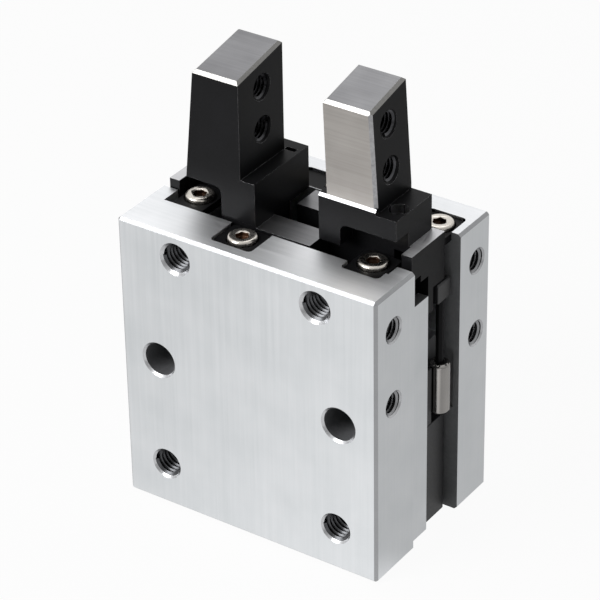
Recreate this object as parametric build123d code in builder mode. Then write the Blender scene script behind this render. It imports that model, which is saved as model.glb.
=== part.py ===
from build123d import *
import os

# Pneumatic angular gripper: two jaws swing on two pivot pins inside a slotted
# aluminium housing, driven by a piston rod whose cross pin runs in a slot of each jaw.
# Millimetres. Origin at the bottom centre of the housing, front face toward -Y, +Z up.

os.makedirs("parts", exist_ok=True)

# Housing block
HOUSING_W = 60.0
HOUSING_D = 41.0
HOUSING_H = 64.5
EDGE = 0.6
FRONT = -HOUSING_D / 2
BACK = HOUSING_D / 2
SIDE = HOUSING_W / 2

# Lever chamber that opens through the top of the housing
CHAMBER_FRONT = -10.2
CHAMBER_BACK = 9.5
CHAMBER_HALF_X = 26.1
CHAMBER_FLOOR = 41.0

# Side openings, one on each side
CHANNEL_FLOOR_X = 25.3
CHANNEL_BACK = 9.4
RIM_BACK_RIGHT = -7.1
RIM_BACK_LEFT = -5.6
REBATE_X = 28.4
REBATE_BACK = 0.3
REBATE_TOP = 55.0
RELIEF_DEPTH = 0.5

# Threads: tapped wall radius, countersink radius and depth
M6_R = 2.5
M6_SINK_R = 3.2
M5_R = 2.1
M5_SINK_R = 2.7
FRONT_UPPER_X = 16.25
FRONT_UPPER_Z = 59.1
FRONT_UPPER_DEPTH = 9.0
FRONT_LOWER_X = 20.45
FRONT_LOWER_Z = 9.7
FRONT_LOWER_DEPTH = 11.0
THROUGH_X = 21.3
THROUGH_Z = 34.3
THROUGH_R = 3.5
SIDE_FRONT_Y = -14.4
SIDE_BACK_Y = 15.6
SIDE_UPPER_Z = 55.6
SIDE_LOWER_Z = 39.0
SIDE_UPPER_DEPTH = 6.5
SIDE_LOWER_DEPTH = 4.2

# Cover plates on the top face, each held by one socket screw
PLATE_TOP = HOUSING_H - 0.5
PLATE_T = 1.6
PLATE_SEAT = PLATE_TOP - PLATE_T
PLATE_GAP = 0.2
PLATE_CORNER = 0.8
SHELF_BOTTOM = 57.2
SCREW_HEAD_R = 2.95
SCREW_HEAD_H = 1.8
SCREW_SINK = 0.8
SCREW_SINK_CLEAR = 0.25
SCREW_R = 1.22
SCREW_HOLE_R = 1.25
SCREW_LENGTH = 4.8
SCREW_TIP_GAP = 0.4
SCREW_HEX = 2.5
PLATE_HOLE_R = 1.6

# Pivots and jaws
PIVOT_X = 16.0
PIVOT_Z = 50.0
PIN_R = 3.0
FIT = 0.02
HUB_R = 6.5
BUSH_R = 4.0
PIN_FRONT = -15.8
PIN_BACK = 14.8
PLUG_R = 4.0
PLUG_BACK = BACK - 1.0
SLEEVE_R = 4.6

RIGHT_HUB_FRONT = -5.3
RIGHT_HUB_BACK = 9.2
LEFT_HUB_FRONT = -9.2
LEFT_HUB_BACK = 6.4
ARM_INNER_RIGHT = 2.7
ARM_INNER_LEFT = -2.8
ARM_TOP = 64.4
ARM_LOW = 45.2
NECK_BACK = 6.4
WING_IN = 25.6
WING_OUT = 28.2
WING_FRONT = -5.3
WING_LOW_FRONT = 60.8
WING_LOW_MID = 50.6
WING_LOW_BACK = 55.8
WING_DROP = 4.3
WING_LOW_RIM = REBATE_TOP + WING_DROP
RUN_GAP = 0.3

BASE_TOP = 73.9
BASE_OUT = 25.6
TIP_BEVEL = 0.6
FOOT_BEVEL = 0.6
ARCH_ROUND = 1.5

# Neck and inner arm, the same in both jaws
NECK_JOIN = 0.5
NECK_SHOULDER_Z = 53.0
NECK_OUT_LOW = 22.0
NECK_OUT = 22.4
NECK_RIB = 2.4
WING_ROOT_Z = 52.0
ARM_ROOT = 12.0
ARM_LIP = 3.3
ARM_LIP_Z = 55.8
ARM_STEP = 5.6
ARM_STEP_Z = 54.2
ARM_END = 4.6
ARM_TAPER = 1.0

# Right jaw
FINGER_TOP = 97.4
TOP_FALL = 2.6
R_BASE_IN = 8.15
R_BASE_FRONT = -6.8
R_BASE_BACK = 5.85
R_BASE_LOW = 64.9
R_FOOT_TOP = 75.0
R_FINGER_IN = 9.85
R_FINGER_OUT = 21.0
R_TIP_IN = 9.0
R_TIP_OUT = 19.6
R_FINGER_FRONT = -6.4
R_TOP_FRONT = FINGER_TOP - TOP_FALL
FINGER_THREAD_TOP_Z = FINGER_TOP - 6.8
R_THREAD_Y = -0.8
R_THREAD_LOW_Z = FINGER_THREAD_TOP_Z - 9.6
R_NECK_IN = 10.0
R_RELIEF_X = 23.4
R_RELIEF_R = 2.0
R_ARCH_X = 13.0
R_ARCH_Y = -2.4
R_ARCH_Z = 69.6
R_WING_TOP = 66.3

# Left jaw
L_BASE_IN = -4.8
L_BASE_FRONT = -9.5
L_BASE_BACK = 9.05
L_BASE_LOW = 64.7
L_FINGER_IN = -8.1
L_FINGER_OUT = -20.95
L_TIP_OUT = -18.3
L_FINGER_BACK = 5.5
L_TOP_FRONT = R_TOP_FRONT
L_TOP_BACK = FINGER_TOP + 0.3
L_THREAD_Y = -1.6
L_THREAD_LOW_Z = FINGER_THREAD_TOP_Z - 9.1
L_NECK_IN_LOW = 7.0
L_NECK_BACK_IN = 7.6
L_NECK_BACK_LOW = 9.5
L_LIP_END = 7.6
L_LIP_LOW = 60.0
L_ARM_TOP = ARM_TOP - 0.2
L_RELIEF = 2.4
L_RELIEF_BACK = 1.1
L_RELIEF_DEPTH = 1.2
L_ARCH_X = -12.7
L_ARCH_Y = 0.2
L_ARCH_Z = 71.0
L_WING_TOP = 66.5

# Drive pin and slot
DRIVE_PIN_R = 2.5
DRIVE_PIN_HALF = 8.8
SLOT_R = 2.65
SLOT_CENTRE = 0.35
SLOT_TRAVEL = 1.9
HEAD_HALF_X = 4.2
HEAD_HALF_Y = 2.5
HEAD_LOW = 42.4
HEAD_TOP = 54.6

# Cylinder
BORE_R = 13.0
BORE_TOP = 24.0
BORE_FIT = 0.05
RING_LOW = 1.2
RING_T = 1.1
RING_DEPTH = 0.9
COVER_LOW = RING_LOW + RING_T + 0.1
COVER_T = 5.0
PISTON_LOW = 8.6
PISTON_T = 10.0
ROD_R = 4.0
SPIGOT_R = 3.0
SPIGOT_LOW = 12.2
SCREW4_R = 1.65
SCREW4_HEAD_R = 3.4
SCREW4_INSET = 0.3
SCREW4_HEAD_TOP = 2.88
SCREW4_LENGTH = 12.0
SCREW4_HEX = 3.0
SCREW4_HEX_DEPTH = 1.5
ROD_BUSH_R = 5.5
ROD_BUSH_LOW = 31.5
ROD_SEAL_R = 6.0
ROD_SEAL_T = 3.4
GROOVE_W = 2.0
GROOVE_DEPTH = 1.8
PORT_X = 8.0
PORT_LOW_Z = 9.6
PORT_HIGH_Z = 21.4
PORT_DEPTH = 5.0
PASSAGE_R = 0.55
PASSAGE_LOW_Z = 8.0
PASSAGE_HIGH_Z = 23.2

# Side opening contents
COVER_IN = CHANNEL_FLOOR_X + 0.1
COVER_OUT = 27.5
COVER_FRONT = REBATE_BACK + 0.1
COVER_BACK = 8.5
COVER_BOTTOM = 0.3
COVER_TOP = 23.5
GUIDE_BACK = 3.4
GUIDE_TOP = 36.6
BARREL_X = 27.65
BARREL_Y = 5.9
BARREL_R = 2.2
BARREL_LOW = 25.7
BARREL_TOP = 37.0
PLUNGER_R = 0.8
PLUNGER_LOW = 32.8
PLUNGER_BORE_LOW = 28.8
PLUNGER_HEAD_LOW = 51.3
PLUNGER_HEAD_TOP = 55.5
PLUNGER_HEAD_X = 2.4
PLUNGER_HEAD_Y = 4.6


def block(x0, x1, y0, y1, z0, z1, mode=Mode.ADD):
    """A rectangular block between two corners."""
    with BuildSketch(Plane.XY.offset(z0)) as outline:
        with Locations(((x0 + x1) / 2, (y0 + y1) / 2)):
            Rectangle(x1 - x0, y1 - y0)
    extrude(outline.sketch, amount=z1 - z0, mode=mode)


def slab(points, y0, y1, mode=Mode.ADD):
    """A plate from y0 to y1 whose outline in X and Z is a polygon."""
    with BuildSketch(Plane.XZ.offset(-y1)) as outline:
        with BuildLine():
            Polyline(*points, close=True)
        make_face()
    extrude(outline.sketch, amount=y1 - y0, mode=mode)


def rod_y(x, z, r, y0, y1, mode=Mode.ADD):
    """A round rod along Y."""
    with BuildSketch(Plane.XZ.offset(-y1)) as outline:
        with Locations((x, z)):
            Circle(r)
    extrude(outline.sketch, amount=y1 - y0, mode=mode)


def rod_x(y, z, r, x0, x1, mode=Mode.ADD):
    """A round rod along X."""
    with BuildSketch(Plane.YZ.offset(x0)) as outline:
        with Locations((y, z)):
            Circle(r)
    extrude(outline.sketch, amount=x1 - x0, mode=mode)


def rod_z(x, y, r, z0, z1, mode=Mode.ADD):
    """A round rod along Z."""
    with BuildSketch(Plane.XY.offset(z0)) as outline:
        with Locations((x, y)):
            Circle(r)
    extrude(outline.sketch, amount=z1 - z0, mode=mode)


def ring_z(r0, r1, z0, z1, mode=Mode.ADD):
    """A ring about the cylinder's axis."""
    with BuildSketch(Plane.XY.offset(z0)) as outline:
        Circle(r1)
        Circle(r0, mode=Mode.SUBTRACT)
    extrude(outline.sketch, amount=z1 - z0, mode=mode)


def tapped_front(x, z, depth):
    """An M6 hole in the front face."""
    with Locations(Plane((x, FRONT, z), x_dir=(1, 0, 0), z_dir=(0, -1, 0))):
        CounterSinkHole(M6_R, M6_SINK_R, depth=depth, counter_sink_angle=90)


def tapped_side(side, y, z, depth):
    """An M5 hole in a side face, side +1 for the right and -1 for the left."""
    with Locations(Plane((side * SIDE, y, z), x_dir=(0, 1, 0), z_dir=(side, 0, 0))):
        CounterSinkHole(M5_R, M5_SINK_R, depth=depth, counter_sink_angle=90)


def plate_outline(x0, x1, y0, y1, grow):
    """The rounded outline of a cover plate, grown by a clearance."""
    with Locations(((x0 + x1) / 2, (y0 + y1) / 2)):
        RectangleRounded(x1 - x0 + 2 * grow, y1 - y0 + 2 * grow, PLATE_CORNER + grow)


# Cover plate corners (x0, x1, y0, y1) and the screw of each
PLATE_1 = (-24.7, -17.6, -9.5, -0.3)
SCREW_1 = (-21.3, -4.8)
PLATE_2 = (-9.6, -0.5, -17.6, -9.8)
SCREW_2 = (-4.9, -13.7)
PLATE_3 = (17.1, 25.3, -12.7, -3.8)
SCREW_3 = (21.2, -7.9)
PLATE_4 = (19.6, 27.7, 6.9, 15.1)
SCREW_4 = (24.0, 11.3)
PLATE_5 = (-9.6, 3.0, 9.8, 16.0)
SCREW_5 = (0.0, 13.0)
PLATE_6 = (-27.7, -19.6, 6.9, 15.1)
SCREW_6 = (-24.0, 11.3)
SCREWS = [SCREW_1, SCREW_2, SCREW_3, SCREW_4, SCREW_5, SCREW_6]
SHELF_1_BACK = -1.0
SHELF_3_BACK = -4.2

# Housing
with BuildPart() as housing:
    block(-SIDE, SIDE, FRONT, BACK, 0, HOUSING_H)
    chamfer(housing.edges(), length=EDGE)
    block(-CHAMBER_HALF_X, CHAMBER_HALF_X, CHAMBER_FRONT, CHAMBER_BACK,
          CHAMBER_FLOOR, HOUSING_H, Mode.SUBTRACT)
    for side, rim in ((1, RIM_BACK_RIGHT), (-1, RIM_BACK_LEFT)):
        outer = sorted((side * REBATE_X, side * (SIDE + 1)))
        inner = sorted((side * CHANNEL_FLOOR_X, side * REBATE_X))
        block(outer[0], outer[1], rim, CHANNEL_BACK, 0, HOUSING_H, Mode.SUBTRACT)
        block(inner[0], inner[1], REBATE_BACK, CHANNEL_BACK, 0, HOUSING_H, Mode.SUBTRACT)
        block(inner[0], inner[1], rim, REBATE_BACK, REBATE_TOP, HOUSING_H, Mode.SUBTRACT)
        relief = sorted((side * (BARREL_X - 1.6), side * (BARREL_X + 1.0)))
        block(relief[0], relief[1], CHANNEL_BACK, CHANNEL_BACK + RELIEF_DEPTH,
              BARREL_LOW - 1.3, BARREL_TOP + 1.0, Mode.SUBTRACT)
        rod_y(side * THROUGH_X, THROUGH_Z, THROUGH_R, FRONT, BACK, Mode.SUBTRACT)
        rod_y(side * PIVOT_X, PIVOT_Z, PIN_R + FIT, PIN_FRONT - 0.2, BACK, Mode.SUBTRACT)
        rod_y(side * PIVOT_X, PIVOT_Z, PLUG_R, PIN_BACK + 0.2, BACK, Mode.SUBTRACT)
        tapped_front(side * FRONT_UPPER_X, FRONT_UPPER_Z, FRONT_UPPER_DEPTH)
        tapped_front(side * FRONT_LOWER_X, FRONT_LOWER_Z, FRONT_LOWER_DEPTH)
        for y in (SIDE_FRONT_Y, SIDE_BACK_Y):
            tapped_side(side, y, SIDE_UPPER_Z, SIDE_UPPER_DEPTH)
            tapped_side(side, y, SIDE_LOWER_Z, SIDE_LOWER_DEPTH)
    # Shelves that carry the two front outer plates over the chamber
    block(PLATE_1[0], PLATE_1[1], CHAMBER_FRONT, SHELF_1_BACK, SHELF_BOTTOM, PLATE_SEAT)
    block(PLATE_3[0], PLATE_3[1], CHAMBER_FRONT, SHELF_3_BACK, SHELF_BOTTOM, PLATE_SEAT)
    # Rounded pockets for the plates
    for plate in (PLATE_1, PLATE_2, PLATE_3, PLATE_4, PLATE_5, PLATE_6):
        with BuildSketch(Plane.XY.offset(PLATE_SEAT)):
            plate_outline(*plate, PLATE_GAP)
        extrude(amount=HOUSING_H - PLATE_SEAT, mode=Mode.SUBTRACT)
    for x, y in SCREWS:
        rod_z(x, y, SCREW_HOLE_R, PLATE_TOP - SCREW_SINK - SCREW_LENGTH - SCREW_TIP_GAP,
              PLATE_SEAT, Mode.SUBTRACT)
    # Cylinder bore, ring groove, rod passage and air ports
    rod_z(0, 0, BORE_R, 0, BORE_TOP, Mode.SUBTRACT)
    rod_z(0, 0, BORE_R + RING_DEPTH, RING_LOW, COVER_LOW, Mode.SUBTRACT)
    rod_z(0, 0, ROD_R + 3 * FIT, BORE_TOP, CHAMBER_FLOOR, Mode.SUBTRACT)
    rod_z(0, 0, ROD_BUSH_R, ROD_BUSH_LOW, CHAMBER_FLOOR, Mode.SUBTRACT)
    rod_z(0, 0, ROD_SEAL_R, BORE_TOP, BORE_TOP + ROD_SEAL_T + 0.2, Mode.SUBTRACT)
    rod_y(-PORT_X, PORT_LOW_Z, M5_R, BACK - PORT_DEPTH, BACK, Mode.SUBTRACT)
    rod_y(PORT_X, PORT_HIGH_Z, M5_R, BACK - PORT_DEPTH, BACK, Mode.SUBTRACT)
    rod_y(-PORT_X, PASSAGE_LOW_Z, PASSAGE_R, PORT_X, BACK - PORT_DEPTH, Mode.SUBTRACT)
    rod_y(PORT_X, PASSAGE_HIGH_Z, PASSAGE_R, PORT_X, BACK - PORT_DEPTH, Mode.SUBTRACT)
housing.part.label = "housing"
export_step(housing.part, "parts/housing.step")


def cover_plate(label, plate, screw):
    """A thin plate with a counterbored hole for its screw."""
    with BuildPart() as cover:
        with BuildSketch(Plane.XY.offset(PLATE_SEAT)):
            plate_outline(*plate, 0)
            with Locations(screw):
                Circle(PLATE_HOLE_R, mode=Mode.SUBTRACT)
        extrude(amount=PLATE_T)
        rod_z(screw[0], screw[1], SCREW_HEAD_R + SCREW_SINK_CLEAR,
              PLATE_TOP - SCREW_SINK, PLATE_TOP, Mode.SUBTRACT)
    cover.part.label = label
    export_step(cover.part, "parts/" + label + ".step")


cover_plate("plate_front_left", PLATE_1, SCREW_1)
cover_plate("plate_front_centre", PLATE_2, SCREW_2)
cover_plate("plate_front_right", PLATE_3, SCREW_3)
cover_plate("plate_back_right", PLATE_4, SCREW_4)
cover_plate("plate_back_centre", PLATE_5, SCREW_5)
cover_plate("plate_back_left", PLATE_6, SCREW_6)

# Six identical socket screws of the plates
with BuildPart() as plate_screws:
    head_low = PLATE_TOP - SCREW_SINK
    for x, y in SCREWS:
        rod_z(x, y, SCREW_HEAD_R, head_low, head_low + SCREW_HEAD_H)
        rod_z(x, y, SCREW_R, head_low - SCREW_LENGTH, head_low)
    with BuildSketch(Plane.XY.offset(head_low + SCREW_HEAD_H)):
        with Locations(*SCREWS):
            RegularPolygon(SCREW_HEX / 2, 6, major_radius=False)
    extrude(amount=-SCREW_HEAD_H * 0.6, mode=Mode.SUBTRACT)
    heads = plate_screws.edges().filter_by(GeomType.CIRCLE).group_by(Axis.Z)[-1]
    chamfer(heads, length=0.35)
plate_screws.part.label = "plate_screws"
export_step(plate_screws.part, "parts/plate_screws.step")

# Pivot pins, pressed in from the back and closed by plugs
for label, side in (("pivot_pin_right", 1), ("pivot_pin_left", -1)):
    with BuildPart() as pin:
        rod_y(side * PIVOT_X, PIVOT_Z, PIN_R, PIN_FRONT, PIN_BACK)
        chamfer(pin.edges().filter_by(GeomType.CIRCLE), length=0.4)
    pin.part.label = label
    export_step(pin.part, "parts/" + label + ".step")

with BuildPart() as pin_plugs:
    for side in (1, -1):
        rod_y(side * PIVOT_X, PIVOT_Z, PLUG_R - FIT, PIN_BACK + 0.3, PLUG_BACK)
        with BuildSketch(Plane.XZ.offset(-PLUG_BACK)):
            with Locations((side * PIVOT_X, PIVOT_Z)):
                RegularPolygon(2.0, 6, major_radius=False)
        extrude(amount=2.8, mode=Mode.SUBTRACT)
pin_plugs.part.label = "pin_plugs"
export_step(pin_plugs.part, "parts/pin_plugs.step")

# Spacer sleeves that keep each jaw in its own half of the chamber
with BuildPart() as sleeve_right:
    rod_y(PIVOT_X, PIVOT_Z, SLEEVE_R, CHAMBER_FRONT + 0.05, RIGHT_HUB_FRONT - 0.1)
    rod_y(PIVOT_X, PIVOT_Z, PIN_R + FIT, CHAMBER_FRONT, RIGHT_HUB_FRONT, Mode.SUBTRACT)
sleeve_right.part.label = "spacer_sleeve_right"
export_step(sleeve_right.part, "parts/spacer_sleeve_right.step")

with BuildPart() as sleeve_left:
    rod_y(-PIVOT_X, PIVOT_Z, SLEEVE_R, LEFT_HUB_BACK + 0.1, CHAMBER_BACK - 0.05)
    rod_y(-PIVOT_X, PIVOT_Z, PIN_R + FIT, LEFT_HUB_BACK, CHAMBER_BACK, Mode.SUBTRACT)
sleeve_left.part.label = "spacer_sleeve_left"
export_step(sleeve_left.part, "parts/spacer_sleeve_left.step")

# Right jaw: hub, inner arm, neck, wing, base and finger in one piece
with BuildPart() as right_jaw:
    # Finger first, so that its own edges can be bevelled
    slab([(R_FINGER_IN, R_FOOT_TOP), (R_FINGER_OUT, R_FOOT_TOP),
          (R_TIP_OUT, FINGER_TOP), (R_TIP_IN, FINGER_TOP)], R_FINGER_FRONT, R_BASE_BACK)
    with BuildSketch(Plane.YZ):
        with BuildLine():
            Polyline((R_BASE_FRONT, R_TOP_FRONT), (R_BASE_BACK, FINGER_TOP),
                     (R_BASE_BACK, FINGER_TOP + TOP_FALL),
                     (R_BASE_FRONT, FINGER_TOP + TOP_FALL), close=True)
        make_face()
    extrude(amount=BASE_OUT, mode=Mode.SUBTRACT)
    tip = right_jaw.faces().sort_by(Axis.Z)[-1]
    chamfer(tip.edges(), length=TIP_BEVEL)
    ground = right_jaw.faces().sort_by(Axis.Y)[0]
    chamfer(ground.edges().sort_by(Axis.X)[-1], length=TIP_BEVEL)
    # Base with a foot under the finger, its front edge bevelled up to the ground face
    with BuildSketch(Plane.YZ.offset(R_BASE_IN)):
        with BuildLine():
            Polyline((R_BASE_FRONT, R_BASE_LOW), (R_BASE_FRONT, R_FOOT_TOP - FOOT_BEVEL),
                     (R_FINGER_FRONT, R_FOOT_TOP), (R_BASE_BACK, R_FOOT_TOP),
                     (R_BASE_BACK, R_BASE_LOW), close=True)
        make_face()
    extrude(amount=R_FINGER_OUT - R_BASE_IN)
    block(R_FINGER_OUT, BASE_OUT, R_BASE_FRONT, R_BASE_BACK, R_BASE_LOW, BASE_TOP)
    with BuildSketch(Plane.XZ.offset(-R_ARCH_Y)):
        with Locations(((R_ARCH_X + 30) / 2, (R_ARCH_Z + 60) / 2)):
            RectangleRounded(30 - R_ARCH_X, R_ARCH_Z - 60, ARCH_ROUND)
    extrude(amount=R_ARCH_Y - R_BASE_FRONT, mode=Mode.SUBTRACT)
    # Neck down to the hub
    slab([(R_BASE_IN, R_BASE_LOW + NECK_JOIN), (R_BASE_IN, NECK_SHOULDER_Z),
          (R_NECK_IN, PIVOT_Z), (NECK_OUT_LOW, PIVOT_Z), (NECK_OUT, NECK_SHOULDER_Z),
          (NECK_OUT, R_BASE_LOW + NECK_JOIN)], R_ARCH_Y, R_BASE_BACK)
    rod_y(PIVOT_X, PIVOT_Z, HUB_R, RIGHT_HUB_FRONT, RIGHT_HUB_BACK)
    # Inner arm with its drive slot
    slab([(-ARM_END, ARM_LOW), (PIVOT_X, PIVOT_Z - HUB_R), (PIVOT_X, PIVOT_Z + HUB_R),
          (ARM_ROOT, ARM_TOP), (-ARM_LIP, ARM_TOP), (-ARM_LIP, ARM_LIP_Z),
          (-ARM_STEP, ARM_STEP_Z), (-ARM_STEP, ARM_LOW + ARM_TAPER)],
         ARM_INNER_RIGHT, RIGHT_HUB_BACK)
    # Wing over the side opening
    block(WING_IN, WING_OUT, R_ARCH_Y + RUN_GAP, REBATE_BACK + RUN_GAP,
          WING_LOW_RIM, R_WING_TOP)
    slab([(NECK_OUT_LOW, WING_ROOT_Z), (WING_IN, WING_LOW_MID), (WING_OUT, WING_LOW_MID),
          (WING_OUT, R_WING_TOP), (WING_IN, R_WING_TOP), (NECK_OUT_LOW, R_BASE_LOW)],
         REBATE_BACK + RUN_GAP, NECK_RIB)
    slab([(NECK_OUT_LOW, WING_LOW_BACK), (WING_OUT, WING_LOW_BACK), (WING_OUT, R_WING_TOP),
          (WING_IN, R_WING_TOP), (NECK_OUT_LOW, R_BASE_LOW)], NECK_RIB, NECK_BACK)
    block(WING_IN + RUN_GAP, WING_OUT, WING_FRONT, R_ARCH_Y + RUN_GAP,
          WING_LOW_FRONT, R_WING_TOP)
    rod_z(R_RELIEF_X, R_ARCH_Y, R_RELIEF_R, BASE_TOP - R_RELIEF_R, BASE_TOP, Mode.SUBTRACT)
    rod_y(PIVOT_X, PIVOT_Z, BUSH_R, RIGHT_HUB_FRONT, RIGHT_HUB_BACK, Mode.SUBTRACT)
    with BuildSketch(Plane.XZ.offset(-RIGHT_HUB_BACK)):
        with Locations((-SLOT_CENTRE, PIVOT_Z)):
            SlotCenterToCenter(SLOT_TRAVEL, 2 * SLOT_R)
    extrude(amount=RIGHT_HUB_BACK - ARM_INNER_RIGHT, mode=Mode.SUBTRACT)
    for z in (FINGER_THREAD_TOP_Z, R_THREAD_LOW_Z):
        rod_x(R_THREAD_Y, z, M5_R, 0, BASE_OUT, Mode.SUBTRACT)
right_jaw.part.label = "right_jaw"
export_step(right_jaw.part, "parts/right_jaw.step")

# Left jaw: its arm and hub lie in front of those of the right jaw
with BuildPart() as left_jaw:
    slab([(L_FINGER_OUT, L_ARCH_Z), (L_FINGER_IN, L_ARCH_Z),
          (L_FINGER_IN, L_TOP_BACK), (L_TIP_OUT, L_TOP_BACK)], L_BASE_FRONT, L_FINGER_BACK)
    with BuildSketch(Plane.YZ):
        with BuildLine():
            Polyline((L_BASE_FRONT, L_TOP_FRONT), (L_FINGER_BACK, L_TOP_BACK),
                     (L_FINGER_BACK, L_TOP_BACK + TOP_FALL),
                     (L_BASE_FRONT, L_TOP_BACK + TOP_FALL), close=True)
        make_face()
    extrude(amount=-BASE_OUT, mode=Mode.SUBTRACT)
    tip = left_jaw.faces().sort_by(Axis.Z)[-1]
    chamfer(tip.edges(), length=TIP_BEVEL)
    block(L_ARCH_X, L_BASE_IN, L_BASE_FRONT, L_BASE_BACK, L_BASE_LOW, BASE_TOP)
    block(-BASE_OUT, L_ARCH_X, L_ARCH_Y, NECK_BACK, L_BASE_LOW, BASE_TOP)
    with BuildSketch(Plane.XZ.offset(-L_ARCH_Y)):
        with Locations(((L_ARCH_X - ARCH_ROUND), (L_ARCH_Z - ARCH_ROUND))):
            Rectangle(ARCH_ROUND, ARCH_ROUND, align=(Align.MIN, Align.MIN))
            Circle(ARCH_ROUND, mode=Mode.SUBTRACT)
    extrude(amount=L_ARCH_Y - L_BASE_FRONT)
    # Neck in two depths, and the hub
    slab([(L_BASE_IN, L_BASE_LOW + NECK_JOIN), (L_BASE_IN, NECK_SHOULDER_Z),
          (-L_NECK_IN_LOW, PIVOT_Z), (L_ARCH_X, PIVOT_Z),
          (L_ARCH_X, L_BASE_LOW + NECK_JOIN)], LEFT_HUB_FRONT, L_ARCH_Y)
    slab([(L_BASE_IN, L_BASE_LOW + NECK_JOIN), (L_BASE_IN, NECK_SHOULDER_Z),
          (-L_NECK_IN_LOW, PIVOT_Z), (-NECK_OUT_LOW, PIVOT_Z), (-NECK_OUT, NECK_SHOULDER_Z),
          (-NECK_OUT, L_BASE_LOW + NECK_JOIN)], L_ARCH_Y, NECK_RIB)
    slab([(-L_NECK_BACK_IN, L_BASE_LOW + NECK_JOIN), (-L_NECK_BACK_IN, NECK_SHOULDER_Z),
          (-L_NECK_BACK_LOW, PIVOT_Z), (-NECK_OUT_LOW, PIVOT_Z), (-NECK_OUT, NECK_SHOULDER_Z),
          (-NECK_OUT, L_BASE_LOW + NECK_JOIN)], NECK_RIB, NECK_BACK)
    rod_y(-PIVOT_X, PIVOT_Z, HUB_R, LEFT_HUB_FRONT, LEFT_HUB_BACK)
    # Inner arm, with a lip that reaches past the centre
    slab([(ARM_END, ARM_LOW), (-PIVOT_X, PIVOT_Z - HUB_R), (-PIVOT_X, PIVOT_Z + HUB_R),
          (-ARM_ROOT, L_ARM_TOP), (L_LIP_END, L_ARM_TOP), (L_LIP_END, L_LIP_LOW),
          (ARM_LIP, L_LIP_LOW), (ARM_LIP, ARM_LIP_Z), (ARM_STEP, ARM_STEP_Z),
          (ARM_STEP, ARM_LOW + ARM_TAPER)], LEFT_HUB_FRONT, ARM_INNER_LEFT)
    # Wing
    slab([(-NECK_OUT_LOW, WING_ROOT_Z), (-WING_IN, WING_LOW_MID), (-WING_OUT, WING_LOW_MID),
          (-WING_OUT, L_WING_TOP), (-WING_IN, L_WING_TOP), (-NECK_OUT_LOW, L_BASE_LOW)],
         REBATE_BACK + RUN_GAP, NECK_RIB)
    slab([(-NECK_OUT_LOW, WING_LOW_BACK), (-WING_OUT, WING_LOW_BACK),
          (-WING_OUT, L_WING_TOP), (-WING_IN, L_WING_TOP), (-NECK_OUT_LOW, L_BASE_LOW)],
         NECK_RIB, NECK_BACK)
    block(-WING_OUT, -WING_IN, R_ARCH_Y + RUN_GAP, REBATE_BACK + RUN_GAP,
          WING_LOW_RIM, L_WING_TOP)
    block(-WING_OUT, -WING_IN - RUN_GAP, WING_FRONT, R_ARCH_Y + RUN_GAP,
          WING_LOW_FRONT, L_WING_TOP)
    block(L_FINGER_IN, L_FINGER_IN + L_RELIEF, L_FINGER_BACK, L_FINGER_BACK + L_RELIEF_BACK,
          BASE_TOP - L_RELIEF_DEPTH, BASE_TOP, Mode.SUBTRACT)
    rod_y(-PIVOT_X, PIVOT_Z, BUSH_R, LEFT_HUB_FRONT, LEFT_HUB_BACK, Mode.SUBTRACT)
    with BuildSketch(Plane.XZ.offset(-ARM_INNER_LEFT)):
        with Locations((SLOT_CENTRE, PIVOT_Z)):
            SlotCenterToCenter(SLOT_TRAVEL, 2 * SLOT_R)
    extrude(amount=ARM_INNER_LEFT - LEFT_HUB_FRONT, mode=Mode.SUBTRACT)
    for z in (FINGER_THREAD_TOP_Z, L_THREAD_LOW_Z):
        rod_x(L_THREAD_Y, z, M5_R, -BASE_OUT, 0, Mode.SUBTRACT)
left_jaw.part.label = "left_jaw"
export_step(left_jaw.part, "parts/left_jaw.step")

# Bronze bushes pressed into the hubs
for label, side, y0, y1 in (("right_bush", 1, RIGHT_HUB_FRONT, RIGHT_HUB_BACK),
                            ("left_bush", -1, LEFT_HUB_FRONT, LEFT_HUB_BACK)):
    with BuildPart() as bush:
        rod_y(side * PIVOT_X, PIVOT_Z, BUSH_R - FIT, y0, y1)
        rod_y(side * PIVOT_X, PIVOT_Z, PIN_R + FIT, y0, y1, Mode.SUBTRACT)
    bush.part.label = label
    export_step(bush.part, "parts/" + label + ".step")

# Cylinder end: cover, its seal and the retaining ring
with BuildPart() as cylinder_cover:
    rod_z(0, 0, BORE_R - FIT, COVER_LOW, COVER_LOW + COVER_T)
    ring_z(BORE_R - GROOVE_DEPTH, BORE_R + 1, COVER_LOW + 1.8, COVER_LOW + 1.8 + GROOVE_W,
           Mode.SUBTRACT)
    rod_z(0, 0, 6.0, COVER_LOW, COVER_LOW + 1.0, Mode.SUBTRACT)
cylinder_cover.part.label = "cylinder_cover"
export_step(cylinder_cover.part, "parts/cylinder_cover.step")

with BuildPart() as cover_seal:
    ring_z(BORE_R - GROOVE_DEPTH + 0.05, BORE_R - BORE_FIT, COVER_LOW + 1.85,
           COVER_LOW + 1.75 + GROOVE_W)
    fillet(cover_seal.edges(), radius=0.5)
cover_seal.part.label = "cover_seal"
export_step(cover_seal.part, "parts/cover_seal.step")

with BuildPart() as retaining_ring:
    ring_z(BORE_R - 2.0, BORE_R + RING_DEPTH - 0.1, RING_LOW + 0.05, RING_LOW + RING_T)
    block(-1.6, 1.6, -BORE_R - 2, -BORE_R + 4, RING_LOW, RING_LOW + RING_T, Mode.SUBTRACT)
retaining_ring.part.label = "retaining_ring"
export_step(retaining_ring.part, "parts/retaining_ring.step")

# Rod guide bush and rod seal in the wall above the cylinder
with BuildPart() as rod_bush:
    ring_z(ROD_R + FIT, ROD_BUSH_R - FIT, ROD_BUSH_LOW + FIT, CHAMBER_FLOOR - 0.3)
rod_bush.part.label = "rod_bush"
export_step(rod_bush.part, "parts/rod_bush.step")

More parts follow.
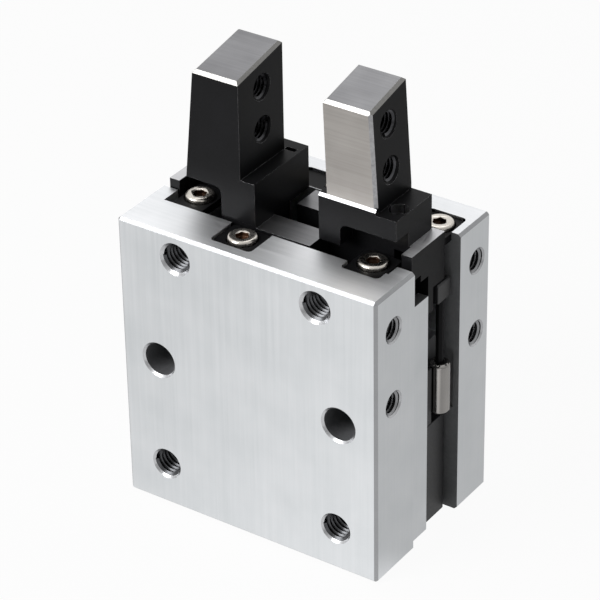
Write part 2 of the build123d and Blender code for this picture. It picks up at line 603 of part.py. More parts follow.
with BuildPart() as rod_seal:
    ring_z(ROD_R + FIT, ROD_SEAL_R - FIT, BORE_TOP + 0.1, BORE_TOP + 0.1 + ROD_SEAL_T)
rod_seal.part.label = "rod_seal"
export_step(rod_seal.part, "parts/rod_seal.step")

# Piston with three grooves
SEAL_Z = PISTON_LOW + 6.9
MAGNET_Z = PISTON_LOW + 4.0
GUIDE_Z = PISTON_LOW + 1.1
with BuildPart() as piston:
    rod_z(0, 0, BORE_R - BORE_FIT, PISTON_LOW, PISTON_LOW + PISTON_T)
    for z in (SEAL_Z, MAGNET_Z, GUIDE_Z):
        ring_z(BORE_R - GROOVE_DEPTH, BORE_R + 1, z, z + GROOVE_W, Mode.SUBTRACT)
    rod_z(0, 0, SPIGOT_R + FIT, SPIGOT_LOW - 0.2, PISTON_LOW + PISTON_T, Mode.SUBTRACT)
    rod_z(0, 0, SCREW4_R + FIT, PISTON_LOW, PISTON_LOW + PISTON_T, Mode.SUBTRACT)
    rod_z(0, 0, 3.6, PISTON_LOW, PISTON_LOW + 2.9, Mode.SUBTRACT)
piston.part.label = "piston"
export_step(piston.part, "parts/piston.step")

for label, z, play in (("piston_seal", SEAL_Z, FIT), ("piston_magnet", MAGNET_Z, 0.3),
                       ("piston_guide_ring", GUIDE_Z, FIT)):
    with BuildPart() as ring:
        ring_z(BORE_R - GROOVE_DEPTH + FIT, BORE_R - play, z + FIT, z + GROOVE_W - FIT)
    ring.part.label = label
    export_step(ring.part, "parts/" + label + ".step")

with BuildPart() as piston_screw:
    rod_z(0, 0, SCREW4_HEAD_R, PISTON_LOW + SCREW4_INSET, PISTON_LOW + SCREW4_HEAD_TOP)
    rod_z(0, 0, SCREW4_R, PISTON_LOW + SCREW4_HEAD_TOP, PISTON_LOW + SCREW4_LENGTH)
    with BuildSketch(Plane.XY.offset(PISTON_LOW + SCREW4_INSET)):
        RegularPolygon(SCREW4_HEX / 2, 6, major_radius=False)
    extrude(amount=SCREW4_HEX_DEPTH, mode=Mode.SUBTRACT)
piston_screw.part.label = "piston_screw"
export_step(piston_screw.part, "parts/piston_screw.step")

# Piston rod with its flat head and the drive pin across it
with BuildPart() as piston_rod:
    rod_z(0, 0, SPIGOT_R, SPIGOT_LOW, PISTON_LOW + PISTON_T)
    rod_z(0, 0, ROD_R, PISTON_LOW + PISTON_T + FIT, HEAD_LOW + 0.5)
    rod_z(0, 0, SPIGOT_R, PISTON_LOW + PISTON_T - 1, PISTON_LOW + PISTON_T + 1)
    block(-HEAD_HALF_X, HEAD_HALF_X, -HEAD_HALF_Y, HEAD_HALF_Y, HEAD_LOW, HEAD_TOP)
    top_edges = piston_rod.edges().group_by(Axis.Z)[-1].filter_by(Axis.Y)
    chamfer(top_edges, length=1.5)
    rod_z(0, 0, SCREW4_R + FIT, SPIGOT_LOW, PISTON_LOW + 13.0, Mode.SUBTRACT)
    rod_y(0, PIVOT_Z, DRIVE_PIN_R + FIT, -HEAD_HALF_Y, HEAD_HALF_Y, Mode.SUBTRACT)
piston_rod.part.label = "piston_rod"
export_step(piston_rod.part, "parts/piston_rod.step")

with BuildPart() as drive_pin:
    rod_y(0, PIVOT_Z, DRIVE_PIN_R, -DRIVE_PIN_HALF, DRIVE_PIN_HALF)
    chamfer(drive_pin.edges().filter_by(GeomType.CIRCLE), length=0.4)
drive_pin.part.label = "drive_pin"
export_step(drive_pin.part, "parts/drive_pin.step")

# Side opening contents: a lower cover, a guide plate, and a spring plunger
for name, side in (("right", 1), ("left", -1)):
    xs = sorted((side * COVER_IN, side * COVER_OUT))
    with BuildPart() as lower_cover:
        block(xs[0], xs[1], COVER_FRONT, COVER_BACK, COVER_BOTTOM, COVER_TOP)
        outer_edges = lower_cover.edges().filter_by(Axis.Z).group_by(Axis.X)[-1 if side > 0 else 0]
        chamfer(outer_edges, length=0.4)
    lower_cover.part.label = "side_cover_" + name
    export_step(lower_cover.part, "parts/side_cover_" + name + ".step")

    with BuildPart() as guide:
        block(xs[0], xs[1], COVER_FRONT, GUIDE_BACK, COVER_TOP + 0.1, GUIDE_TOP)
    guide.part.label = "guide_plate_" + name
    export_step(guide.part, "parts/guide_plate_" + name + ".step")

    with BuildPart() as barrel:
        rod_z(side * BARREL_X, BARREL_Y, BARREL_R, BARREL_LOW, BARREL_TOP)
        chamfer(barrel.edges().group_by(Axis.Z)[-1], length=0.5)
        rod_z(side * BARREL_X, BARREL_Y, PLUNGER_R + FIT, PLUNGER_BORE_LOW, BARREL_TOP,
              Mode.SUBTRACT)
    barrel.part.label = "damper_barrel_" + name
    export_step(barrel.part, "parts/damper_barrel_" + name + ".step")

    with BuildPart() as plunger:
        rod_z(side * BARREL_X, BARREL_Y, PLUNGER_R, PLUNGER_LOW, PLUNGER_HEAD_LOW - FIT)
    plunger.part.label = "plunger_rod_" + name
    export_step(plunger.part, "parts/plunger_rod_" + name + ".step")

    hx = side * (BARREL_X - 0.25)
    with BuildPart() as head:
        block(hx - PLUNGER_HEAD_X / 2, hx + PLUNGER_HEAD_X / 2, BARREL_Y - PLUNGER_HEAD_Y / 2,
              BARREL_Y + PLUNGER_HEAD_Y / 2, PLUNGER_HEAD_LOW, PLUNGER_HEAD_TOP)
        chamfer(head.edges().group_by(Axis.Z)[-1], length=0.3)
    head.part.label = "plunger_head_" + name
    export_step(head.part, "parts/plunger_head_" + name + ".step")
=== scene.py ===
import logging
import math
from dataclasses import dataclass
from enum import Enum
from typing import Callable, Optional, Sequence

import bmesh
import bpy
from mathutils import Euler, Matrix, Vector


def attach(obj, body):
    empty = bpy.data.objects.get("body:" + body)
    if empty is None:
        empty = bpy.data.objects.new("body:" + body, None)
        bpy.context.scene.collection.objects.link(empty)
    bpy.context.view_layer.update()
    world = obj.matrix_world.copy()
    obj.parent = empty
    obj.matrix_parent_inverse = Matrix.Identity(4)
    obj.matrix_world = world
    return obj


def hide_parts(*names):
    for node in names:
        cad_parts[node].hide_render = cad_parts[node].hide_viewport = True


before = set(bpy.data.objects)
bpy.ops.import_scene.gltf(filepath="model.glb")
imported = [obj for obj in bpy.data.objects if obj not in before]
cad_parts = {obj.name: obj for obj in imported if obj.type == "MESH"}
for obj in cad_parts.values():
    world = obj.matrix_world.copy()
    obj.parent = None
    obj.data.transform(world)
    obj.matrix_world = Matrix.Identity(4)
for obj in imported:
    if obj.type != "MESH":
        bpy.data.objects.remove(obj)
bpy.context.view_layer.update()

LOG = logging.getLogger("gripper")
MM = 0.001


def mm(*values: float) -> Vector:
    """A point or size given in millimetres, in metres."""
    return Vector([v * MM for v in values])


def srgb(code: str) -> tuple[float, float, float, float]:
    """Turns an sRGB hex colour into linear values.

    Args:
        code: six hex digits after a hash.

    Returns:
        Linear red, green, blue and an alpha of 1.
    """
    parts = [int(code[i:i + 2], 16) / 255 for i in (1, 3, 5)]
    linear = [c / 12.92 if c <= 0.04045 else ((c + 0.055) / 1.055) ** 2.4 for c in parts]
    return (linear[0], linear[1], linear[2], 1.0)


def deselect() -> None:
    """Leaves object mode with nothing selected."""
    if bpy.context.mode != "OBJECT":
        bpy.ops.object.mode_set(mode="OBJECT")
    bpy.ops.object.select_all(action="DESELECT")


def make_active(piece: bpy.types.Object) -> None:
    """Selects one piece alone and makes it active."""
    deselect()
    piece.select_set(True)
    bpy.context.view_layer.objects.active = piece


def apply_modifiers(piece: bpy.types.Object) -> None:
    """Applies every modifier on a piece, in order."""
    make_active(piece)
    for modifier in list(piece.modifiers):
        bpy.ops.object.modifier_apply(modifier=modifier.name)


def settle(piece: bpy.types.Object) -> None:
    """Moves a piece's place into its mesh, so that its object sits at the origin."""
    make_active(piece)
    bpy.ops.object.transform_apply(location=True, rotation=True, scale=True)


# Finishes


class Lay(Enum):
    """The way a surface's fine marks run."""

    NONE = "none"
    ALONG_X = "along x"
    ALONG_Y = "along y"
    ALONG_Z = "along z"


def add_node(tree: bpy.types.NodeTree, kind: str, settings: Optional[dict] = None,
             links: Optional[dict] = None) -> bpy.types.Node:
    """Adds a shader node with its settings and links.

    Args:
        tree: the material's or the world's node tree.
        kind: the node's type name.
        settings: attribute names, or input names, and their values.
        links: input names or numbers, and the output sockets that feed them.

    Returns:
        The new node.
    """
    node = tree.nodes.new(kind)
    for name, value in (settings or {}).items():
        if isinstance(name, str) and hasattr(node, name):
            setattr(node, name, value)
        else:
            node.inputs[name].default_value = value
    for name, socket in (links or {}).items():
        tree.links.new(socket, node.inputs[name])
    return node


@dataclass(frozen=True)
class Finish:
    """A surface finish: base colour, its variation, gloss and fine marks.

    Attributes:
        name: the finish in a maker's words.
        colour: the usual colour.
        colour_low: the colour in the darker parts of its variation.
        metallic: 1 for bare metal.
        roughness: mean roughness.
        roughness_swing: how much the roughness varies either way.
        lay: the direction of brushing or grinding marks.
        mark_mm: distance between marks.
        grain_mm: size of the fine grain.
        relief_mm: depth of marks and grain.
        ior: index for a finish that isn't bare metal.
    """

    name: str
    colour: str
    colour_low: str
    metallic: float
    roughness: float
    roughness_swing: float = 0.05
    lay: Lay = Lay.NONE
    mark_mm: float = 0.25
    grain_mm: float = 0.3
    relief_mm: float = 0.004
    ior: float = 1.5

    def build(self) -> bpy.types.Material:
        """Makes the node material."""
        made = bpy.data.materials.new(self.name)
        made.use_nodes = True
        tree = made.node_tree
        shader = tree.nodes["Principled BSDF"]
        shader.inputs["Metallic"].default_value = self.metallic
        if self.metallic < 0.5:
            shader.inputs["IOR"].default_value = self.ior
        place = add_node(tree, "ShaderNodeTexCoord")
        long_mm = 14.0
        stretch = {Lay.NONE: (1.0, 1.0, 1.0),
                   Lay.ALONG_X: (self.mark_mm / long_mm, 1.0, 1.0),
                   Lay.ALONG_Y: (1.0, self.mark_mm / long_mm, 1.0),
                   Lay.ALONG_Z: (1.0, 1.0, self.mark_mm / long_mm)}[self.lay]
        size = self.grain_mm if self.lay is Lay.NONE else self.mark_mm
        turned = add_node(tree, "ShaderNodeMapping", {"Scale": stretch},
                          {"Vector": place.outputs["Object"]})
        marks = add_node(tree, "ShaderNodeTexNoise",
                         {"Scale": 1.0 / (size * MM * 2.0), "Detail": 3.0, "Roughness": 0.6},
                         {"Vector": turned.outputs["Vector"]})
        cloud = add_node(tree, "ShaderNodeTexNoise",
                         {"Scale": 1.0 / (9.0 * MM), "Detail": 2.0, "Roughness": 0.5},
                         {"Vector": place.outputs["Object"]})
        both = add_node(tree, "ShaderNodeMath", {"operation": "ADD"},
                        {0: marks.outputs["Fac"], 1: cloud.outputs["Fac"]})
        share = add_node(tree, "ShaderNodeMapRange",
                         {"From Min": 0.7, "From Max": 1.3}, {"Value": both.outputs["Value"]})
        tint = add_node(tree, "ShaderNodeMix", {"data_type": "RGBA"},
                        {"Factor": share.outputs["Result"]})
        tint.inputs[6].default_value = srgb(self.colour_low)
        tint.inputs[7].default_value = srgb(self.colour)
        gloss = add_node(tree, "ShaderNodeMapRange",
                         {"From Min": 0.3, "From Max": 0.7,
                          "To Min": self.roughness - self.roughness_swing,
                          "To Max": self.roughness + self.roughness_swing},
                         {"Value": marks.outputs["Fac"]})
        relief = add_node(tree, "ShaderNodeBump",
                          {"Strength": 0.35, "Distance": self.relief_mm * MM},
                          {"Height": marks.outputs["Fac"]})
        tree.links.new(tint.outputs[2], shader.inputs["Base Color"])
        tree.links.new(gloss.outputs["Result"], shader.inputs["Roughness"])
        tree.links.new(relief.outputs["Normal"], shader.inputs["Normal"])
        return made


class Finishes:
    """The object's finishes, made once and shared."""

    def __init__(self) -> None:
        """Builds each finish."""
        # Extruded aluminium, brushed along its height and clear anodised: pale and satin.
        self.anodised = Finish("anodised_aluminium", "#d6d8da", "#cccfd1", 1.0, 0.40, 0.05,
                               Lay.ALONG_Z, 0.28, relief_mm=0.003).build()
        # The same block milled on top, with marks along its width.
        self.milled = Finish("milled_aluminium", "#e2e3e5", "#d6d8da", 1.0, 0.46, 0.05,
                             Lay.ALONG_X, 0.3, relief_mm=0.003).build()
        # The cut and broken edges of the block, painted a darker grey than its faces: a painted
        # dark reflection on the narrow bevels.
        self.edge_painted_dark = Finish("aluminium_edge_painted_dark", "#a2a3a5", "#98999b", 1.0, 0.42,
                                  0.04, relief_mm=0.002).build()
        # Drilled and tapped walls, the M6 threads too: painted a dark grey, as painted shade inside
        # the holes.
        self.hole_wall_painted_shade = Finish("drilled_wall_painted_shade", "#5a5b5d", "#3c3d3f", 1.0, 0.30, 0.06,
                                relief_mm=0.004).build()
        # The side slot's walls: a dull grey with no metal gloss, painted darker than the block as
        # painted shade inside the slot.
        self.slot_wall_painted_shade = Finish("dull_slot_wall_painted_shade", "#8a8b8d", "#7a7b7d", 0.0, 0.45, 0.05,
                                relief_mm=0.003).build()
        # The reamed wall of the long mounting holes: a dull grey with no metal gloss, painted
        # darker still as painted shade deep in the holes.
        self.reamed = Finish("reamed_wall_painted_shade", "#6c6d6f", "#5c5d5f", 0.0, 0.38, 0.05,
                             relief_mm=0.002).build()
        # Threads of the small M5 holes: a mid grey, painted lighter than the M6 threads as painted
        # light for their bright crests.
        self.m5_thread_painted_light = Finish("m5_thread_painted_light", "#a4a5a7", "#88898b", 1.0, 0.28, 0.05,
                                    relief_mm=0.002).build()
        # Countersunk rims, cut after the anodising, painted a little darker than the faces as
        # painted shade at the holes' mouths.
        self.rim = Finish("countersunk_rim_painted_shade", "#c0c1c3", "#a9aaac", 1.0, 0.30, 0.05,
                          relief_mm=0.002).build()
        # Tool steel blackened by hot oxide: near black, with a soft satin reflection.
        self.black_oxide = Finish("black_oxide_steel", "#19191b", "#131314", 0.0, 0.40, 0.05,
                                  grain_mm=0.25, relief_mm=0.003, ior=1.18).build()
        # The same steel ground bare after blackening: grey, with fine grinding marks. The front
        # copy is painted lighter and the top copy darker: painted light and shade on one steel.
        self.ground_front_painted_lit = Finish("ground_steel_front_painted_lit", "#aaa6a2", "#9b9793", 1.0, 0.36, 0.06,
                                   Lay.ALONG_X, 0.2, relief_mm=0.003).build()
        self.ground_top_painted_shade = Finish("ground_steel_top_painted_shade", "#868688", "#737375", 1.0, 0.36, 0.07,
                                 Lay.ALONG_X, 0.22, relief_mm=0.003).build()
        # The wings' upper faces, ground once and left matt.
        self.ledge = Finish("ground_ledge", "#c9c9cb", "#b6b6b8", 1.0, 0.50, 0.06,
                            Lay.ALONG_X, 0.22, relief_mm=0.003).build()
        # A freshly ground corner catches the light along its whole length.
        self.steel_edge = Finish("bright_steel_edge", "#8a8987", "#7a7977", 1.0, 0.28, 0.05,
                                 relief_mm=0.002).build()
        # Threads tapped after the blackening, still dark with cutting oil.
        self.thread_steel = Finish("tapped_steel", "#59595c", "#38383a", 1.0, 0.30, 0.07,
                                   relief_mm=0.003).build()
        # Worn corners of the blackened jaws, rubbed bare and grey.
        self.worn_edge = Finish("worn_black_edge", "#b8b8ba", "#8e8e90", 1.0, 0.34, 0.06,
                                relief_mm=0.002).build()
        # Stainless screw heads, turned and tumbled: warm and bright.
        self.stainless = Finish("stainless_screw", "#d8d3cc", "#c4bfb7", 1.0, 0.27, 0.06,
                                grain_mm=0.35, relief_mm=0.003).build()
        # The sockets in the heads are cold formed and hold some oil, so they look brown.
        self.socket = Finish("oiled_socket", "#6a5648", "#4c3d33", 1.0, 0.34, 0.06,
                             relief_mm=0.003).build()
        # The damper barrel: turned steel, polished along its height.
        self.barrel = Finish("polished_barrel", "#a09d9a", "#8a8886", 1.0, 0.22, 0.04,
                             Lay.ALONG_Z, 0.3, relief_mm=0.001).build()
        # Hard chrome on the piston rod.
        self.chrome = Finish("hard_chrome", "#d2cec8", "#c2beb8", 1.0, 0.14, 0.04,
                             Lay.ALONG_X, 0.3, relief_mm=0.001).build()
        # Ground dowel steel for pins, plugs and sleeves.
        self.pin_steel = Finish("ground_pin_steel", "#a4a4a4", "#8f8f90", 1.0, 0.25, 0.05,
                                relief_mm=0.002).build()
        # Sintered bronze, porous and oil filled.
        self.bronze = Finish("sintered_bronze", "#b58a50", "#8e6a3a", 1.0, 0.42, 0.08,
                             grain_mm=0.2, relief_mm=0.010).build()
        # Nitrile rubber seals, matte black.
        self.rubber = Finish("nitrile_rubber", "#17171a", "#101012", 0.0, 0.60, 0.06,
                             grain_mm=0.2, relief_mm=0.006, ior=1.52).build()
        # Glass filled nylon covers, moulded with a fine spark texture.
        self.nylon = Finish("moulded_black_nylon", "#232325", "#1a1a1c", 0.0, 0.46, 0.05,
                            grain_mm=0.18, relief_mm=0.008, ior=1.53).build()
        # Turned aluminium of the piston and its cover.
        self.turned = Finish("turned_aluminium", "#c4c5c7", "#b0b1b3", 1.0, 0.32, 0.06,
                             grain_mm=0.3, relief_mm=0.004).build()


# Shared modelling steps


def merged_copy(node: str, name: str) -> bpy.types.Object:
    """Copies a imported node's mesh into a new piece and joins its loose triangles.

    Args:
        node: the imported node.
        name: the new piece's name.

    Returns:
        The new piece, closed and still in triangles.
    """
    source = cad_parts[node]
    piece = bpy.data.objects.new(name, source.data.copy())
    bpy.context.scene.collection.objects.link(piece)
    piece.data.materials.clear()
    make_active(piece)
    bpy.ops.object.mode_set(mode="EDIT")
    bpy.ops.mesh.select_all(action="SELECT")
    bpy.ops.mesh.remove_doubles(threshold=0.0005 * MM)
    bpy.ops.object.mode_set(mode="OBJECT")
    if piece.data.has_custom_normals:
        bpy.ops.mesh.customdata_custom_splitnormals_clear()
    return piece


def flatten(piece: bpy.types.Object) -> None:
    """Makes the flat faces of a piece whole again."""
    make_active(piece)
    bpy.ops.object.mode_set(mode="EDIT")
    bpy.ops.mesh.select_all(action="SELECT")
    bpy.ops.mesh.dissolve_limited(angle_limit=math.radians(0.6))
    bpy.ops.object.mode_set(mode="OBJECT")


def break_edges(piece: bpy.types.Object, width_mm: float, segments: int = 2,
                limit_deg: float = 32.0) -> None:
    """Makes flat faces whole, then rounds every sharp edge of a piece a little.

    Args:
        piece: the piece.
        width_mm: the width of the broken edge.
        segments: how many faces round the edge.
        limit_deg: edges flatter than this stay.
    """
    flatten(piece)
    bpy.ops.object.shade_smooth_by_angle(angle=math.radians(limit_deg))
    bevel = piece.modifiers.new("broken_edges", "BEVEL")
    bevel.width = width_mm * MM
    bevel.segments = segments
    bevel.limit_method = "ANGLE"
    bevel.angle_limit = math.radians(limit_deg)
    bevel.harden_normals = True
    bevel.use_clamp_overlap = True
    bevel.miter_outer = "MITER_ARC"
    apply_modifiers(piece)


def cut(piece: bpy.types.Object, tool: bpy.types.Object) -> None:
    """Cuts a tool's shape from a piece and removes the tool."""
    boolean = piece.modifiers.new("cut", "BOOLEAN")
    boolean.operation = "DIFFERENCE"
    boolean.solver = "EXACT"
    boolean.object = tool
    apply_modifiers(piece)
    bpy.data.objects.remove(tool)


def join(pieces: Sequence[bpy.types.Object], name: str) -> bpy.types.Object:
    """Joins pieces into one object."""
    deselect()
    for piece in pieces:
        piece.select_set(True)
    bpy.context.view_layer.objects.active = pieces[0]
    if len(pieces) > 1:
        bpy.ops.object.join()
    pieces[0].name = name
    return pieces[0]


def paint(piece: bpy.types.Object, finishes: Sequence[bpy.types.Material],
          choose: Callable[[Vector, Vector], int]) -> None:
    """Gives each face the finish that its place and normal ask for.

    Args:
        piece: the piece, in the frame.
        finishes: the piece's finishes.
        choose: takes a face's centre in millimetres and its normal, gives the finish's number.
    """
    piece.data.materials.clear()
    for finish in finishes:
        piece.data.materials.append(finish)
    for face in piece.data.polygons:
        face.material_index = choose(face.center / MM, face.normal)


def aim(direction: Vector) -> Matrix:
    """The rotation that turns +Z to a direction."""
    return direction.to_track_quat("Z", "Y").to_matrix().to_4x4()


@dataclass
class Hole:
    """A drilled or tapped hole.

    Attributes:
        mouth: centre of its mouth, in millimetres.
        inward: the direction it goes.
        radius: wall radius, to the thread's root in a tapped hole.
        depth: how deep it goes.
        sink: width of the countersink.
        pitch: thread pitch, or 0 for a plain hole.
        through: whether it comes out, with a second countersink at its depth.
    """

    mouth: tuple[float, float, float]
    inward: tuple[float, float, float]
    radius: float
    depth: float
    sink: float = 0.4
    pitch: float = 0.0
    through: bool = False

    def tool(self) -> bpy.types.Object:
        """The cutter: one closed shape with a cone at its mouth, reaching a little outside."""
        outside = 0.5
        wide = self.radius + self.sink + outside
        deselect()
        bpy.ops.mesh.primitive_cone_add(
            vertices=64, radius1=wide * MM, radius2=self.radius * MM,
            depth=(self.sink + outside) * MM, location=mm(0, 0, (self.sink - outside) / 2))
        cutter = bpy.context.active_object
        settle(cutter)
        if self.through:
            self._push(cutter, self.depth - 2 * self.sink, 1.0)
            self._push(cutter, self.sink + outside, wide / self.radius)
        else:
            self._push(cutter, self.depth - self.sink, 1.0)
        cutter.data.transform(Matrix.Translation(mm(*self.mouth)) @ aim(Vector(self.inward)))
        return cutter

    def _push(self, cutter: bpy.types.Object, length: float, widen: float) -> None:
        """Extrudes the cutter's far end further in, and widens the new end."""
        make_active(cutter)
        far = max(v.co.z for v in cutter.data.vertices)
        bpy.ops.object.mode_set(mode="EDIT")
        bpy.ops.mesh.select_mode(type="FACE")
        bpy.ops.mesh.select_all(action="DESELECT")
        shape = bmesh.from_edit_mesh(cutter.data)
        for face in shape.faces:
            face.select = all(v.co.z > far - 1e-6 for v in face.verts)
        bmesh.update_edit_mesh(cutter.data)
        bpy.ops.mesh.extrude_region_move(
            TRANSFORM_OT_translate={"value": (0, 0, length * MM)})
        bpy.ops.object.mode_set(mode="OBJECT")
        end = max(v.co.z for v in cutter.data.vertices)
        for vertex in cutter.data.vertices:
            if vertex.co.z > end - 1e-6:
                vertex.co.xy = vertex.co.xy * widen

    def thread(self, name: str, finish: bpy.types.Material) -> bpy.types.Object:
        """The thread: a ridge spun in a helix down the wall.

        Args:
            name: the piece's name.
            finish: its finish.

        Returns:
            The closed ridge.
        """
        height = 0.54 * self.pitch
        half = 0.44 * self.pitch
        start = self.sink * 0.6 + half
        turns = (self.depth - start - half) / self.pitch
        steps = max(int(turns * 32), 8)
        deselect()
        bpy.ops.mesh.primitive_plane_add(size=1.0)
        ridge = bpy.context.active_object
        ridge.name = name
        corners = [(self.radius + 0.02, -half), (self.radius + 0.02, half),
                   (self.radius - height, -0.07 * self.pitch),
                   (self.radius - height, 0.07 * self.pitch)]
        for vertex, (r, z) in zip(ridge.data.vertices, corners):
            vertex.co = mm(r, 0, z + start)
        bpy.ops.object.mode_set(mode="EDIT")
        bpy.ops.mesh.select_all(action="SELECT")
        bpy.ops.mesh.spin(steps=steps, angle=turns * 2 * math.pi, center=(0, 0, 0),
                          axis=(0, 0, 1), dupli=False, use_auto_merge=False,
                          use_normal_flip=False)
        bpy.ops.object.mode_set(mode="OBJECT")
        self._lift(ridge, turns)
        bpy.ops.object.mode_set(mode="EDIT")
        bpy.ops.mesh.select_all(action="SELECT")
        bpy.ops.mesh.remove_doubles(threshold=1e-7)
        bpy.ops.mesh.select_mode(type="EDGE")
        bpy.ops.mesh.select_all(action="DESELECT")
        bpy.ops.mesh.select_non_manifold(extend=False, use_wire=False, use_boundary=True,
                                         use_multi_face=False, use_non_contiguous=False,
                                         use_verts=False)
        bpy.ops.mesh.edge_face_add()
        bpy.ops.mesh.select_all(action="SELECT")
        bpy.ops.mesh.normals_make_consistent(inside=False)
        bpy.ops.object.mode_set(mode="OBJECT")
        ridge.data.transform(Matrix.Translation(mm(*self.mouth)) @ aim(Vector(self.inward)))
        bpy.ops.object.shade_smooth_by_angle(angle=math.radians(30))
        ridge.data.materials.append(finish)
        return ridge

    def _lift(self, ridge: bpy.types.Object, turns: float) -> None:
        """Raises each spun section along the axis by its share of the pitch."""
        sections = len(ridge.data.vertices) // 4
        for i, vertex in enumerate(ridge.data.vertices):
            section = i // 4
            vertex.co.z += turns * self.pitch * MM * section / max(sections - 1, 1)


# Places and sizes in millimetres that more than one piece reads.
LONG_HOLE_X = 21.3
LONG_HOLE_Z = 34.3
LONG_HOLE_R = 3.53
LONG_WALL_REACH = 3.7
SLOT_FLOOR_X = 25.2
STRIP_X = 28.0
M6_R = 3.0
M6_PITCH = 1.0
M5_R = 2.5
M5_PITCH = 0.8


# Sub-assemblies


@dataclass
class Housing:
    """The slotted block, with its tapped and drilled holes."""

    finishes: Finishes
    front: float = -20.5
    side: float = 30.0
    height: float = 64.5
    edge: float = 0.6

    def holes(self) -> list[Hole]:
        """Every hole that shows in the block's front, side and back faces."""
        made: list[Hole] = []
        for s in (1, -1):
            made.append(Hole((s * 16.25, self.front, 59.1), (0, 1, 0), M6_R, 9.0, 0.6, M6_PITCH))
            made.append(Hole((s * 20.45, self.front, 9.7), (0, 1, 0), M6_R, 11.0, 0.45, M6_PITCH))
            made.append(Hole((s * LONG_HOLE_X, self.front, LONG_HOLE_Z), (0, 1, 0), LONG_HOLE_R,
                             41.0, 0.45, through=True))
            for y in (-14.4, 15.6):
                made.append(Hole((s * self.side, y, 55.6), (-s, 0, 0), M5_R, 6.5, 0.35, M5_PITCH))
                made.append(Hole((s * self.side, y, 39.0), (-s, 0, 0), M5_R, 4.2, 0.35, M5_PITCH))
        for x, z in ((-8.0, 9.6), (8.0, 21.4)):
            made.append(Hole((x, -self.front, z), (0, -1, 0), M5_R, 5.0, 0.35, M5_PITCH))
        return made

    def _finish_of(self, centre: Vector, normal: Vector) -> int:
        """Which finish a face has.

        0 brushed, 1 milled, 2 edge in painted dark reflection, 3 hole in painted shade, 4 chamber,
        5 rim in painted shade, 6 slot wall in painted shade, 7 reamed hole in painted shade.
        """
        flat = max(abs(normal.x), abs(normal.y), abs(normal.z)) > 0.999
        at_side = abs(centre.x) > self.side - self.edge - 0.05
        at_front = abs(centre.y) > -self.front - self.edge - 0.05
        # Broken edges take the edge finish, painted darker than the faces: a painted dark
        # reflection.
        at_top = centre.z > self.height - self.edge - 0.05
        if not flat and (at_side and at_front or at_top or centre.z < 1):
            # Countersinks take the rim finish, a little darker: painted shade at the holes' mouths.
            return 2
        if not flat and (at_side or at_front):
            return 5
        if centre.z > self.height - 0.01:
            return 1
        if abs(centre.y) > -self.front - 0.01 or abs(centre.x) > self.side - 0.01:
            return 0
        if abs(centre.x) < SLOT_FLOOR_X and abs(centre.y) < 20 and centre.z > 41 and flat:
            return 4
        # Slot walls: a dull grey painted darker than the block, painted shade inside the slot; the
        # outer strip keeps the brushed finish.
        if flat and SLOT_FLOOR_X < abs(centre.x) < 29.9 and abs(centre.y) < 10 and centre.z > 1:
            return 0 if abs(normal.x) > 0.99 and abs(centre.x) > STRIP_X else 6
        from_axis = math.hypot(abs(centre.x) - LONG_HOLE_X, centre.z - LONG_HOLE_Z)
        # Walls of the long holes: a darker grey, painted shade deep in the holes.
        if not flat and from_axis < LONG_WALL_REACH:
            return 7
        # Other hole walls: dark grey, painted shade inside the holes.
        if not flat and centre.z > 1:
            return 3
        return 0

    def build(self) -> None:
        """Cuts the holes in the block, breaks its edges and adds the threads."""
        block = merged_copy("housing", "housing_block")
        holes = self.holes()
        cut(block, join([hole.tool() for hole in holes], "drills"))
        break_edges(block, 0.08, 2)
        f = self.finishes
        paint(block, (f.anodised, f.milled, f.edge_painted_dark, f.hole_wall_painted_shade, f.milled, f.rim,
                      f.slot_wall_painted_shade, f.reamed), self._finish_of)
        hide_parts("housing")
        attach(block, "housing")
        LOG.info("housing block: %d faces", len(block.data.polygons))
        # The M6 threads take the hole wall's painted shade; the M5 threads a lighter grey, painted
        # light for their bright crests.
        ridges = [hole.thread("thread", f.hole_wall_painted_shade if hole.pitch == M6_PITCH else f.m5_thread_painted_light)
                  for hole in holes if hole.pitch > 0]
        threads = join(ridges, "housing_threads")
        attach(threads, "housing")
        LOG.info("housing threads: %d faces", len(threads.data.polygons))


